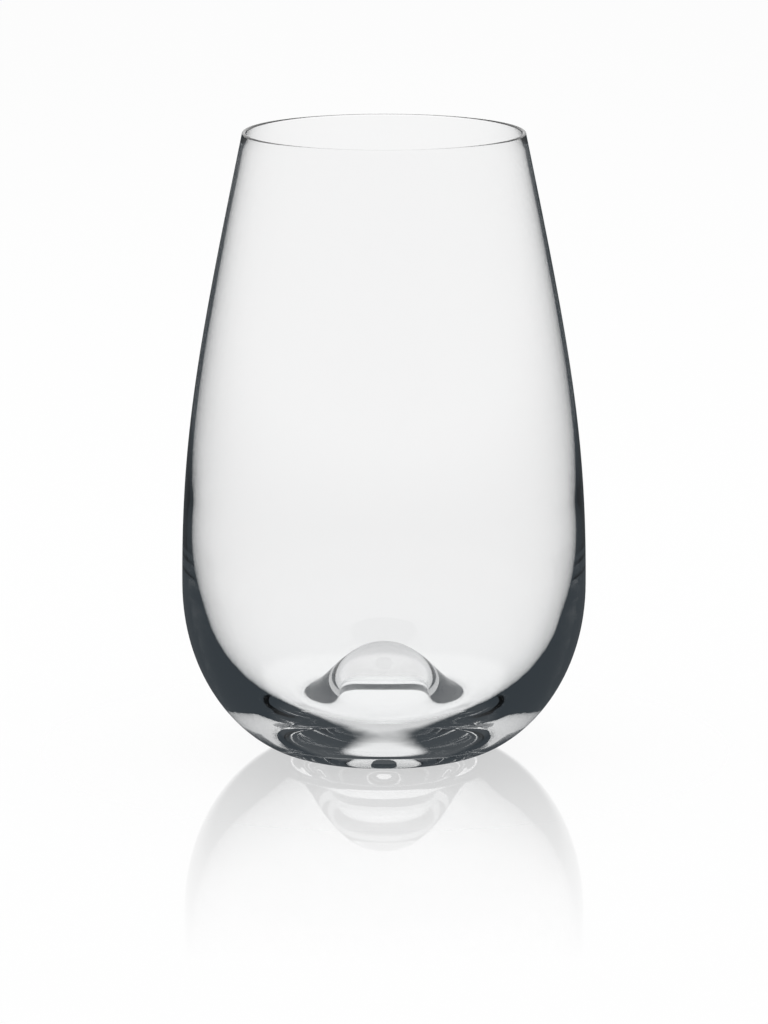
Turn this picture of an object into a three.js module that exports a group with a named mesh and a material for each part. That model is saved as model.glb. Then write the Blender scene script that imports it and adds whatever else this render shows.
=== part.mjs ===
// Stemless highball glass with a punted base, blown as one piece of clear glass.
// Millimetres, +Z up. The origin is the centre of the resting ring, on the table.
// The glass is held as five zones that meet face to face: rim, taper, belly, heel and punt.
import * as THREE from 'three';

// Outside of the glass
const HEIGHT = 131;
const RIM_RADIUS = 29.5;
const RIM_LEAN = THREE.MathUtils.degToRad(11.75);
const BELLY_RADIUS = 42.45;
const BELLY_HEIGHT = 35.6;
const RING_OUTER_RADIUS = 18.9;
const RING_INNER_RADIUS = 17.4;

// Thickness of the glass: at the lip, at the inner belly, under the floor and over the hollow
const LIP_WALL = 0.85;
const BELLY_WALL = 2.2;
const FLOOR_WALL = 7;
const PUNT_WALL = 6.1;

// Inside of the glass: the inner belly lies above the outer one, and the floor rings the punt
const INNER_BELLY_RISE = 20;
const FLOOR_RADIUS = 20.7;
const FLOOR_SLOPE = THREE.MathUtils.degToRad(23);
const PUNT_RISE = 12.3;

// Underside: the slope at which the hollow leaves the resting ring
const HOLLOW_SLOPE = THREE.MathUtils.degToRad(15.5);

// How far each curve runs on in its end direction before it bends away
const HEEL_RUN_AT_RING = 7.9;
const HEEL_RUN_AT_BELLY = 23.2;
const WALL_RUN_AT_BELLY = 31.3;
const WALL_RUN_AT_RIM = 45.7;
const INNER_RUN_AT_BELLY = 16;
const INNER_RUN_AT_RIM = 37.5;
const BOWL_RUN_AT_BELLY = 16;
const BOWL_RUN_AT_FLOOR = 22.5;
const PUNT_RUN_AT_FLOOR = 6;
const PUNT_RUN_AT_TOP = 10.2;
const HOLLOW_RUN_AT_TOP = 14.5;
const HOLLOW_RUN_AT_RING = 9.5;

// Where one zone ends and the next begins: the rim band's depth and the shoulder's height
const RIM_BAND = 5;
const SHOULDER_HEIGHT = 82;

// Facets round the axis, and along each stretch of the profile
const TURN_STEPS = 64;
const LIP_STEPS = 6;
const RIM_STEPS = 1;
const TAPER_STEPS = 5;
const BELLY_STEPS = 5;
const INNER_BELLY_STEPS = 2;
const HEEL_STEPS = 12;
const BOWL_STEPS = 10;
const PUNT_STEPS = 10;
const HOLLOW_STEPS = 9;
const HALVINGS = 50;

const lipRadius = LIP_WALL / 2;
const lipHeight = HEIGHT - lipRadius;
const innerRimRadius = RIM_RADIUS - LIP_WALL;
const innerBellyRadius = BELLY_RADIUS - BELLY_WALL;
const innerBellyHeight = BELLY_HEIGHT + INNER_BELLY_RISE;
const puntHeight = FLOOR_WALL + PUNT_RISE;
const hollowHeight = puntHeight - PUNT_WALL;

const foot = [FLOOR_RADIUS, FLOOR_WALL];
const ringEdge = [RING_INNER_RADIUS, 0];

// A curve in the half plane of radius and height, from its four control points
function curve(...points) {
  return new THREE.CubicBezierCurve(...points.map(([radius, height]) => new THREE.Vector2(radius, height)));
}

// The control point that lies this far down the lean of the wall from a point of the rim
function downTheLean(radius, run) {
  return [radius + run * Math.sin(RIM_LEAN), lipHeight - run * Math.cos(RIM_LEAN)];
}

// The control point that lies this far from a point up a slope, or down it for a negative run
function upTheSlope([radius, height], slope, run) {
  return [radius + run * Math.cos(slope), height + run * Math.sin(slope)];
}

const heelCurve = curve(
  [RING_OUTER_RADIUS, 0],
  [RING_OUTER_RADIUS + HEEL_RUN_AT_RING, 0],
  [BELLY_RADIUS, BELLY_HEIGHT - HEEL_RUN_AT_BELLY],
  [BELLY_RADIUS, BELLY_HEIGHT],
);
const wallCurve = curve(
  [BELLY_RADIUS, BELLY_HEIGHT],
  [BELLY_RADIUS, BELLY_HEIGHT + WALL_RUN_AT_BELLY],
  downTheLean(RIM_RADIUS, WALL_RUN_AT_RIM),
  [RIM_RADIUS, lipHeight],
);
const innerWallCurve = curve(
  [innerRimRadius, lipHeight],
  downTheLean(innerRimRadius, INNER_RUN_AT_RIM),
  [innerBellyRadius, innerBellyHeight + INNER_RUN_AT_BELLY],
  [innerBellyRadius, innerBellyHeight],
);
const bowlCurve = curve(
  [innerBellyRadius, innerBellyHeight],
  [innerBellyRadius, innerBellyHeight - BOWL_RUN_AT_BELLY],
  upTheSlope(foot, FLOOR_SLOPE, BOWL_RUN_AT_FLOOR),
  foot,
);
const puntCurve = curve(
  foot,
  upTheSlope(foot, FLOOR_SLOPE, -PUNT_RUN_AT_FLOOR),
  [PUNT_RUN_AT_TOP, puntHeight],
  [0, puntHeight],
);
const hollowCurve = curve(
  [0, hollowHeight],
  [HOLLOW_RUN_AT_TOP, hollowHeight],
  upTheSlope(ringEdge, Math.PI - HOLLOW_SLOPE, HOLLOW_RUN_AT_RING),
  ringEdge,
);

// The parameter at which a steadily rising or falling curve passes a height
function parameterAt(line, height) {
  const rising = line.v3.y > line.v0.y;
  let low = 0;
  let high = 1;
  for (let i = 0; i < HALVINGS; i += 1) {
    const middle = (low + high) / 2;
    if ((line.getPoint(middle).y < height) === rising) low = middle;
    else high = middle;
  }
  return high;
}

// The points of a curve from one parameter to another
function stretch(line, steps, from = 0, to = 1) {
  return Array.from({ length: steps + 1 }, (_, i) => line.getPoint(from + ((to - from) * i) / steps));
}

// The rounded edge of the lip, from the outside over the top to the inside
function lipEdge() {
  return Array.from({ length: LIP_STEPS - 1 }, (_, i) => {
    const angle = (Math.PI * (i + 1)) / LIP_STEPS;
    return new THREE.Vector2(
      RIM_RADIUS - lipRadius + lipRadius * Math.cos(angle),
      lipHeight + lipRadius * Math.sin(angle),
    );
  });
}

// Drops a point that repeats the one before it, so that stretches join without an empty facet
function joined(...stretches) {
  return stretches.flat().filter((point, i, all) => i === 0 || !point.equals(all[i - 1]));
}

// A zone of the glass: its profile turned round the upright axis
function zone(name, profile, closes = true) {
  const points = closes ? [...profile, profile[0].clone()] : profile;
  const geometry = new THREE.LatheGeometry(points, TURN_STEPS);
  geometry.rotateX(Math.PI / 2);
  const glass = new THREE.MeshStandardMaterial({
    color: 0xf4f7f8,
    roughness: 0.02,
    metalness: 0,
    transparent: true,
    opacity: 0.35,
  });
  const mesh = new THREE.Mesh(geometry, glass);
  mesh.name = name;
  return mesh;
}

const rimFoot = HEIGHT - RIM_BAND;
const wallAtRim = parameterAt(wallCurve, rimFoot);
const wallAtShoulder = parameterAt(wallCurve, SHOULDER_HEIGHT);
const innerAtRim = parameterAt(innerWallCurve, rimFoot);
const innerAtShoulder = parameterAt(innerWallCurve, SHOULDER_HEIGHT);
const bowlAtBelly = parameterAt(bowlCurve, BELLY_HEIGHT);

// The drinking edge, rounded over the top
function rim() {
  return zone('rim', joined(
    stretch(wallCurve, RIM_STEPS, wallAtRim, 1),
    lipEdge(),
    stretch(innerWallCurve, RIM_STEPS, 0, innerAtRim),
  ));
}

// The thin wall that draws in from the shoulder to the rim
function taper() {
  return zone('tapered_wall', joined(
    stretch(wallCurve, TAPER_STEPS, wallAtShoulder, wallAtRim),
    stretch(innerWallCurve, TAPER_STEPS, innerAtRim, innerAtShoulder),
  ));
}

// The widest part of the wall, where the glass starts to thicken
function belly() {
  return zone('belly_wall', joined(
    stretch(wallCurve, BELLY_STEPS, 0, wallAtShoulder),
    stretch(innerWallCurve, BELLY_STEPS, innerAtShoulder, 1),
    stretch(bowlCurve, INNER_BELLY_STEPS, 0, bowlAtBelly),
  ));
}

// The heavy round heel, with the flat ring that the glass stands on
function heel() {
  return zone('heel', joined(
    [new THREE.Vector2(RING_INNER_RADIUS, 0)],
    stretch(heelCurve, HEEL_STEPS),
    stretch(bowlCurve, BOWL_STEPS, bowlAtBelly, 1),
  ));
}

// The punt: the floor pushed up into a dome, with its hollow open underneath
function punt() {
  return zone('punt', joined(
    stretch(hollowCurve, HOLLOW_STEPS),
    stretch(puntCurve, PUNT_STEPS),
  ), false);
}

const highballGlass = new THREE.Group();
highballGlass.name = 'highball_glass';
highballGlass.add(rim(), taper(), belly(), heel(), punt());

export default highballGlass;
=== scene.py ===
# Stemless highball glass with a punted base: one skin of clear blown glass on a pale studio floor.
# Metres, +Z up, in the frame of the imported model.
import math

import bpy
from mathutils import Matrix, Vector


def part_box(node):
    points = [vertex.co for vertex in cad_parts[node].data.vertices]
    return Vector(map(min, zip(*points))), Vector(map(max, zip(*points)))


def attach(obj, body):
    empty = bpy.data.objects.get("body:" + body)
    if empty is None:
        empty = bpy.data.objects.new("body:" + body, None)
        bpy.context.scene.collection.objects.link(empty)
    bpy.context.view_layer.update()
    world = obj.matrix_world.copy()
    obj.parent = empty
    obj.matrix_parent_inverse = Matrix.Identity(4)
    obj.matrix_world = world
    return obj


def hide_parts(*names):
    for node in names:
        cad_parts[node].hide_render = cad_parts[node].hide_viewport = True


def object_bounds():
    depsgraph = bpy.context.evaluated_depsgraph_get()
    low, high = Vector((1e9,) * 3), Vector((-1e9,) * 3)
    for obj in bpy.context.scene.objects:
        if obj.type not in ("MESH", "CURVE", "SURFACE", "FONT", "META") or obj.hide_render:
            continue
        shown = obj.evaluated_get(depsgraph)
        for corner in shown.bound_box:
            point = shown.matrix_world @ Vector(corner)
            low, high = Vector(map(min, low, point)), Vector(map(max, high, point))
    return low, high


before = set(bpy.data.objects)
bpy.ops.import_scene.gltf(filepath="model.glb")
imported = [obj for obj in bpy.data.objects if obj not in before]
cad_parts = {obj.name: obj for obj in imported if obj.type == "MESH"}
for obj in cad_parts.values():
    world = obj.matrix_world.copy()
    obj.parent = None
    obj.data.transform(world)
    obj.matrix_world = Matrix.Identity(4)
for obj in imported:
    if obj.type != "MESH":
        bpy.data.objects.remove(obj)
cad_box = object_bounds()

# Sizes of the glass, each one an input of its node tree
GLASS = {
    "height": cad_box[1].z,
    "belly radius": cad_box[1].x,
    "belly height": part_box("heel")[1].z,
    "rim radius": 0.0295,
    "rim lean": math.radians(11.75),
    "lip wall": 0.00085,
    "ring outer radius": 0.0189,
    "ring inner radius": 0.01757,
    "ring round": 0.0004,
    "inner belly radius": 0.04052,
    "inner belly height": 0.05516,
    "floor radius": 0.02103,
    "floor wall": 0.00724,
    "floor slope": math.radians(27.76),
    "punt height": 0.01940,
    "punt wall": 0.00609,
    "hollow slope": math.radians(11.00),
    "heel run at ring": 0.0079,
    "heel run at belly": 0.0232,
    "wall run at belly": 0.0313,
    "wall run at rim": 0.0457,
    "inner run at belly": 0.01603,
    "inner run at rim": 0.03689,
    "bowl run at belly": 0.01439,
    "bowl run at floor": 0.02498,
    "punt run at floor": 0.00756,
    "punt run at top": 0.01138,
    "hollow run at top": 0.01393,
    "hollow run at ring": 0.01037,
}

# Radius of the axis and height of the ground, in the half section
AXIS = 0.0
GROUND = 0.0

# Fineness of the skin
TURN_STEPS = 256
CURVE_STEPS = 40
LIP_STEPS = 8
STRAIGHT_STEPS = 2
AXLE_RADIUS = 1e-6
WELD = 4e-6

# Handle of a curve that makes a quarter of a circle, as a share of its radius
QUARTER_ROUND = 0.5523

# Finish of the glass
GLASS_IOR = 1.52
CLEAR_TINT = (1.0, 1.0, 1.0, 1.0)
HEEL_TINT = (0.985, 0.993, 0.996, 1.0)
HEEL_TINT_HEIGHT = 0.030
DRAWN_STRETCH = 0.04
DRAWN_LINES = 300.0
DRAWN_DETAIL = 1.0
DRAWN_DEPTH = 6e-6
SCUFF_GRAIN = 2500.0
SCUFF_DETAIL = 3.0
SCUFF_START = 0.45
SCUFF_CONTRAST = 4.0
SCUFF_HEIGHT = 0.0002
SCUFF_ROUGHNESS = 0.35

# Floor: its mirror is strongest at the glass and fades out with the distance
FLOOR_DROP = 0.00005
FLOOR_SIZE = 6.0
FLOOR_MATT = 0.1
REFLECTION = 0.40
REFLECTION_FADE = 0.172

# Tones of the room; the dark tone is painted shade that only the glass shows
WHITE = (1.0, 1.0, 1.0, 1.0)
PAINTED_SHADE_TONE = (0.034, 0.042, 0.049, 1.0)
ROOM_TONE = (0.7, 0.7, 0.7, 1.0)

# Painted shade and light in the glass: how bright the room is made to the glass from above, level and from
# below,
# by the way that the light took: off the outside, or through one wall or both walls, thrown back inside not
# at all, once or often; this paints the dark bands and edges in the glass
OFF_THE_OUTSIDE = (1.0, 0.04, 0.30)
THROUGH_ONE_WALL = ((0.90, 0.97, 1.0), (0.0, 0.0, 0.90), (0.0, 0.0, 0.80))
THROUGH_BOTH_WALLS = ((1.0, 0.95, 1.0), (0.95, 0.78, 1.0), (0.0, 0.50, 0.5))

# Surfaces that light has crossed once it is through both walls
BOTH_WALLS = 4.0

# Painted highlights: light that was thrown back this often in one wall is made bright, painting the white
# patches at the sides of the heel
HEEL_HIGHLIGHT_THROWS = 7.0
PAINTED_HEEL_HIGHLIGHT_TONE = 0.80

# Where above passes into level, by the rise of the line to the room, and level into below, by its fall
LEVEL = 0.0
LEVEL_SOFT_EDGE = 0.2
STEEP = 0.77
STEEP_SOFT_EDGE = 0.06

# Softbox overhead
SOFTBOX_PLACE = Vector((0.0, 0.1, 1.1))
SOFTBOX_AIM = Vector((0.0, 0.0, 0.0))
SOFTBOX_SIZE = 0.9
SOFTBOX_WATTS = 4.0

# Camera
CAMERA_PLACE = Vector((0.0, -1.2, 0.28714))
CAMERA_AIM = Vector((0.0, 0.0, 0.0506))
LENS = 204.75
SENSOR_WIDTH = 36.0

# How often light may bounce: in all or through the glass, and off it
LIGHT_BOUNCES = 32
GLOSS_BOUNCES = 24


class Value:
    """One output socket, with the arithmetic that adds Math nodes."""

    def __init__(self, tree, socket):
        self.tree = tree
        self.socket = socket

    def other(self, name):
        return Value(self.tree, self.socket.node.outputs[name])

    def math(self, operation, first, second=0.0, clamp=False):
        settings = {"operation": operation, "use_clamp": clamp}
        return self.tree.node("ShaderNodeMath", settings, {0: first, 1: second})

    def sine(self):
        return self.math("SINE", self)

    def cosine(self):
        return self.math("COSINE", self)

    def clamped(self):
        return self.math("ADD", self, clamp=True)

    def larger(self, other):
        return self.math("MAXIMUM", self, other)

    def __abs__(self):
        return self.math("ABSOLUTE", self)

    def __neg__(self):
        return self.math("MULTIPLY", self, -1.0)

    def __add__(self, other):
        return self.math("ADD", self, other)

    def __radd__(self, other):
        return self.math("ADD", other, self)

    def __sub__(self, other):
        return self.math("SUBTRACT", self, other)

    def __rsub__(self, other):
        return self.math("SUBTRACT", other, self)

    def __mul__(self, other):
        return self.math("MULTIPLY", self, other)

    def __rmul__(self, other):
        return self.math("MULTIPLY", other, self)

    def __truediv__(self, other):
        return self.math("DIVIDE", self, other)

    def __rtruediv__(self, other):
        return self.math("DIVIDE", other, self)


class Tree:
    """A node tree that is written as Python expressions."""

    def __init__(self, node_tree):
        self.node_tree = node_tree
        node_tree.nodes.clear()

    def node(self, kind, settings=None, sockets=None, output=0):
        made = self.node_tree.nodes.new(kind)
        for name, setting in (settings or {}).items():
            setattr(made, name, setting)
        for key, value in (sockets or {}).items():
            self.feed(made.inputs[key], value)
        return Value(self, made.outputs[output]) if made.outputs else made

    def feed(self, socket, value):
        if isinstance(value, Value):
            self.node_tree.links.new(value.socket, socket)
        elif isinstance(value, list):
            for one in value:
                self.feed(socket, one)
        else:
            socket.default_value = value

    def sizes(self, names):
        for name in names:
            self.node_tree.interface.new_socket(name, in_out="INPUT", socket_type="NodeSocketFloat")
        given = self.node("NodeGroupInput")
        return {name: given.other(name) for name in names}

    def mix(self, factor, first, second):
        return self.node("ShaderNodeMixShader", {}, {0: factor, 1: first, 2: second})


def shown(name, data):
    """A new object of the scene, at the origin."""
    made = bpy.data.objects.new(name, data)
    bpy.context.scene.collection.objects.link(made)
    return made


def set_up(thing, place, aim):
    """Puts a lamp or a camera in its place and turns it to its aim."""
    thing.location = place
    thing.rotation_euler = (aim - place).to_track_quat("-Z", "Y").to_euler()


# Shape of the glass

def turned_glass_tree(finish):
    """The glass as a rule: its half section, drawn in curves, turned once round the axis."""
    group = bpy.data.node_groups.new("turned_glass", "GeometryNodeTree")
    tree = Tree(group)
    group.interface.new_socket("skin", in_out="OUTPUT", socket_type="NodeSocketGeometry")
    size = tree.sizes(GLASS)

    def spot(radius, height):
        return tree.node("ShaderNodeCombineXYZ", {}, {"X": radius - AXLE_RADIUS, "Y": -height})

    def curve(start, leave, arrive, end, steps=CURVE_STEPS):
        return tree.node(
            "GeometryNodeCurvePrimitiveBezierSegment",
            {"mode": "POSITION"},
            {"Resolution": steps, "Start": spot(*start), "Start Handle": spot(*leave),
             "End Handle": spot(*arrive), "End": spot(*end)},
        )

    def moved(place, out=0.0, up=0.0):
        return place[0] + out, place[1] + up

    def down_the_lean(place, run):
        return moved(place, run * size["rim lean"].sine(), -run * size["rim lean"].cosine())

    def up_the_floor(run):
        return moved(foot, run * size["floor slope"].cosine(), run * size["floor slope"].sine())

    def up_the_hollow(run):
        return moved(ring_corner, -run * size["hollow slope"].cosine(), run * size["hollow slope"].sine())

    lip = size["lip wall"] / 2.0
    lip_turn = lip * QUARTER_ROUND
    lip_top = (size["rim radius"] - lip, size["height"])
    lip_outside = moved(lip_top, lip, -lip)
    lip_inside = moved(lip_top, -lip, -lip)
    inner_belly = (size["inner belly radius"], size["inner belly height"])
    foot = (size["floor radius"], size["floor wall"])
    punt_top = (AXIS, size["punt height"])
    belly = (size["belly radius"], size["belly height"])
    ring_outside = (size["ring outer radius"], GROUND)
    ring_corner = (size["ring inner radius"], GROUND)
    ring_inside = moved(ring_corner, out=size["ring round"])
    hollow_edge = up_the_hollow(size["ring round"])
    hollow_top = moved(punt_top, up=-size["punt wall"])

    section = [
        curve(punt_top, moved(punt_top, out=size["punt run at top"]),
              up_the_floor(-size["punt run at floor"]), foot),
        curve(foot, up_the_floor(size["bowl run at floor"]),
              moved(inner_belly, up=-size["bowl run at belly"]), inner_belly),
        curve(inner_belly, moved(inner_belly, up=size["inner run at belly"]),
              down_the_lean(lip_inside, size["inner run at rim"]), lip_inside),
        curve(lip_inside, moved(lip_inside, up=lip_turn), moved(lip_top, out=-lip_turn), lip_top, LIP_STEPS),
        curve(lip_top, moved(lip_top, out=lip_turn), moved(lip_outside, up=lip_turn), lip_outside, LIP_STEPS),
        curve(lip_outside, down_the_lean(lip_outside, size["wall run at rim"]),
              moved(belly, up=size["wall run at belly"]), belly),
        curve(belly, moved(belly, up=-size["heel run at belly"]),
              moved(ring_outside, out=size["heel run at ring"]), ring_outside),
        curve(ring_outside, ring_outside, ring_inside, ring_inside, STRAIGHT_STEPS),
        curve(ring_inside, ring_corner, ring_corner, hollow_edge, LIP_STEPS),
        curve(hollow_edge, up_the_hollow(size["hollow run at ring"]),
              moved(hollow_top, out=size["hollow run at top"]), hollow_top),
    ]
    half_section = tree.node("GeometryNodeJoinGeometry", {}, {"Geometry": section})
    axle = {"Resolution": TURN_STEPS, "Radius": AXLE_RADIUS}
    rail = tree.node("GeometryNodeCurvePrimitiveCircle", {}, axle)
    skin = tree.node("GeometryNodeCurveToMesh", {}, {"Curve": rail, "Profile Curve": half_section})
    skin = tree.node("GeometryNodeMergeByDistance", {}, {"Geometry": skin, "Distance": WELD})
    skin = tree.node("GeometryNodeSetShadeSmooth", {}, {"Geometry": skin, "Shade Smooth": True})
    skin = tree.node("GeometryNodeRealizeInstances", {}, {"Geometry": skin})
    skin = tree.node("GeometryNodeSetMaterial", {}, {"Geometry": skin, "Material": finish})
    tree.node("NodeGroupOutput", {}, {"skin": skin})
    return group


def turned_glass(finish):
    """The glass as a plain mesh, made by its node tree."""
    group = turned_glass_tree(finish)
    piece = shown("highball_glass", bpy.data.meshes.new("empty_section"))
    turning = piece.modifiers.new("turned_glass", "NODES")
    turning.node_group = group
    for item in group.interface.items_tree:
        if item.in_out == "INPUT":
            turning[item.identifier] = GLASS[item.name]
    depsgraph = bpy.context.evaluated_depsgraph_get()
    skin = bpy.data.meshes.new_from_object(piece.evaluated_get(depsgraph), depsgraph=depsgraph)
    piece.modifiers.remove(turning)
    piece.data = skin
    skin.name = "highball_glass_skin"
    return piece


# Finish of the glass

def glass_finish():
    """Clear glass: a trace of colour in the thick heel, faint drawn lines, and scuffs on the resting ring."""
    finish = bpy.data.materials.new("clear_glass")
    finish.use_nodes = True
    tree = Tree(finish.node_tree)
    place = tree.node("ShaderNodeTexCoord").other("Object")
    height = tree.node("ShaderNodeSeparateXYZ", {}, {0: place}, output="Z")
    thick = (1.0 - height / HEEL_TINT_HEIGHT).clamped()
    tints = {"Factor": thick, "A": CLEAR_TINT, "B": HEEL_TINT}
    tint = tree.node("ShaderNodeMix", {"data_type": "RGBA"}, tints, output="Result")
    drawn = tree.node("ShaderNodeMapping", {}, {"Vector": place, "Scale": (1.0, 1.0, DRAWN_STRETCH)})
    drawing = {"Vector": drawn, "Scale": DRAWN_LINES, "Detail": DRAWN_DETAIL}
    lines = tree.node("ShaderNodeTexNoise", {}, drawing)
    bump = tree.node("ShaderNodeBump", {}, {"Height": lines, "Strength": 1.0, "Distance": DRAWN_DEPTH})
    scuffing = {"Vector": place, "Scale": SCUFF_GRAIN, "Detail": SCUFF_DETAIL}
    grain = tree.node("ShaderNodeTexNoise", {}, scuffing)
    standing = (1.0 - height / SCUFF_HEIGHT).clamped()
    scuffs = standing * ((grain - SCUFF_START) * SCUFF_CONTRAST).clamped() * SCUFF_ROUGHNESS
    surface = tree.node(
        "ShaderNodeBsdfPrincipled",
        {},
        {"Base Color": tint, "Roughness": scuffs, "Normal": bump,
         "IOR": GLASS_IOR, "Transmission Weight": 1.0},
    )
    tree.node("ShaderNodeOutputMaterial", {}, {"Surface": surface})
    return finish


# Studio

def floor_finish():
    """White gloss sheet lit from below: it glows, mirrors the glass close by and takes its shadow."""
    finish = bpy.data.materials.new("lit_floor")
    finish.use_nodes = True
    finish.cycles.emission_sampling = "NONE"
    tree = Tree(finish.node_tree)
    place = tree.node("ShaderNodeTexCoord").other("Object")
    reach = tree.node("ShaderNodeVectorMath", {"operation": "LENGTH"}, {0: place}, output="Value")
    near = (1.0 - reach / REFLECTION_FADE).clamped() * REFLECTION
    glow = tree.node("ShaderNodeEmission", {}, {"Color": WHITE, "Strength": 1.0})
    matt = tree.node("ShaderNodeBsdfDiffuse", {}, {"Color": WHITE})
    gloss = tree.node("ShaderNodeBsdfGlossy", {}, {"Color": WHITE, "Roughness": 0.0})
    path = tree.node("ShaderNodeLightPath")
    seen = tree.mix(near, tree.mix(FLOOR_MATT, glow, matt), gloss)
    surface = tree.mix(path.other("Is Camera Ray"), matt, seen)
    tree.node("ShaderNodeOutputMaterial", {}, {"Surface": surface})
    return finish


def lit_floor():
    """The sheet that the glass stands on. To the glass itself the room takes its place."""
    half = FLOOR_SIZE / 2.0
    mesh = bpy.data.meshes.new("floor")
    corners = [(-half, -half, 0.0), (half, -half, 0.0), (half, half, 0.0), (-half, half, 0.0)]
    mesh.from_pydata(corners, [], [(0, 1, 2, 3)])
    mesh.materials.append(floor_finish())
    floor = shown("floor", mesh)
    floor.location.z = -FLOOR_DROP
    floor.visible_glossy = False
    floor.visible_transmission = False


def faded(distance, start, soft_edge):
    """One up to the start of a soft edge, and smoothly nought beyond it."""
    left = (1.0 - (distance - start) / soft_edge).clamped()
    return left * left * (3.0 - 2.0 * left)


def room():
    """White to the camera. To the glass it is white too, but dark to light that was thrown back inside:
    painted shade and highlights in the glass, set by the light's path.
    """
    world = bpy.data.worlds.new("studio_room")
    bpy.context.scene.world = world
    world.use_nodes = True
    tree = Tree(world.node_tree)
    path = tree.node("ShaderNodeLightPath")
    crossed = path.other("Transmission Depth")
    throws = path.other("Glossy Depth")
    direction = tree.node("ShaderNodeTexCoord").other("Generated")
    rise = tree.node("ShaderNodeSeparateXYZ", {}, {0: direction}, output="Z")
    above = 1.0 - faded(rise, LEVEL - LEVEL_SOFT_EDGE / 2.0, LEVEL_SOFT_EDGE)
    below = faded(rise, -STEEP - STEEP_SOFT_EDGE / 2.0, STEEP_SOFT_EDGE)
    level = (1.0 - above) * (1.0 - below)

    def either(factor, first, second):
        return first + factor * (second - first)

    def seen(tones):
        return above * tones[0] + level * tones[1] + below * tones[2]

    def thrown_back(never, once, often):
        again = either((throws - 1.0).clamped(), seen(once), seen(often))
        return either(throws.clamped(), seen(never), again)

    def backdrop(colour):
        return tree.node("ShaderNodeBackground", {}, {"Color": colour, "Strength": 1.0})

    # Painted highlights: the white patches at the sides of the heel, for light thrown back this often inside
    # one wall
    painted_heel_highlights = (1.0 - abs(throws - HEEL_HIGHLIGHT_THROWS)).clamped() * PAINTED_HEEL_HIGHLIGHT_TONE
    one_wall = thrown_back(*THROUGH_ONE_WALL).larger(painted_heel_highlights)
    both_walls = thrown_back(*THROUGH_BOTH_WALLS)
    inside = either((crossed - (BOTH_WALLS - 1.0)).clamped(), one_wall, both_walls)
    bright = either(crossed.clamped(), seen(OFF_THE_OUTSIDE), inside)
    white = backdrop(WHITE)
    # Painted shade and light on the glass: the room is dark or white to it by the path that the light took
    # through and inside the glass
    painted_glass_shade = tree.mix(bright, backdrop(PAINTED_SHADE_TONE), white)
    glass_ray = path.other("Is Glossy Ray").larger(path.other("Is Transmission Ray"))
    off_camera = tree.mix(glass_ray, backdrop(ROOM_TONE), painted_glass_shade)
    surface = tree.mix(path.other("Is Camera Ray"), off_camera, white)
    tree.node("ShaderNodeOutputWorld", {}, {"Surface": surface})


def softbox():
    """One soft lamp overhead, which the glass itself does not show."""
    data = bpy.data.lights.new("overhead_softbox", "AREA")
    data.shape = "SQUARE"
    data.size = SOFTBOX_SIZE
    data.energy = SOFTBOX_WATTS
    lamp = shown("overhead_softbox", data)
    set_up(lamp, SOFTBOX_PLACE, SOFTBOX_AIM)
    lamp.visible_transmission = False
    lamp.visible_glossy = False


def camera():
    data = bpy.data.cameras.new("studio_camera")
    data.lens = LENS
    data.sensor_width = SENSOR_WIDTH
    eye = shown("studio_camera", data)
    set_up(eye, CAMERA_PLACE, CAMERA_AIM)
    bpy.context.scene.camera = eye


def settings():
    scene = bpy.context.scene
    scene.view_settings.view_transform = "Standard"
    scene.cycles.max_bounces = LIGHT_BOUNCES
    scene.cycles.transmission_bounces = LIGHT_BOUNCES
    scene.cycles.glossy_bounces = GLOSS_BOUNCES


glass = turned_glass(glass_finish())
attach(glass, "root")
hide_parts("rim", "tapered_wall", "belly_wall", "heel", "punt")
room()
camera()
lit_floor()
softbox()
settings()
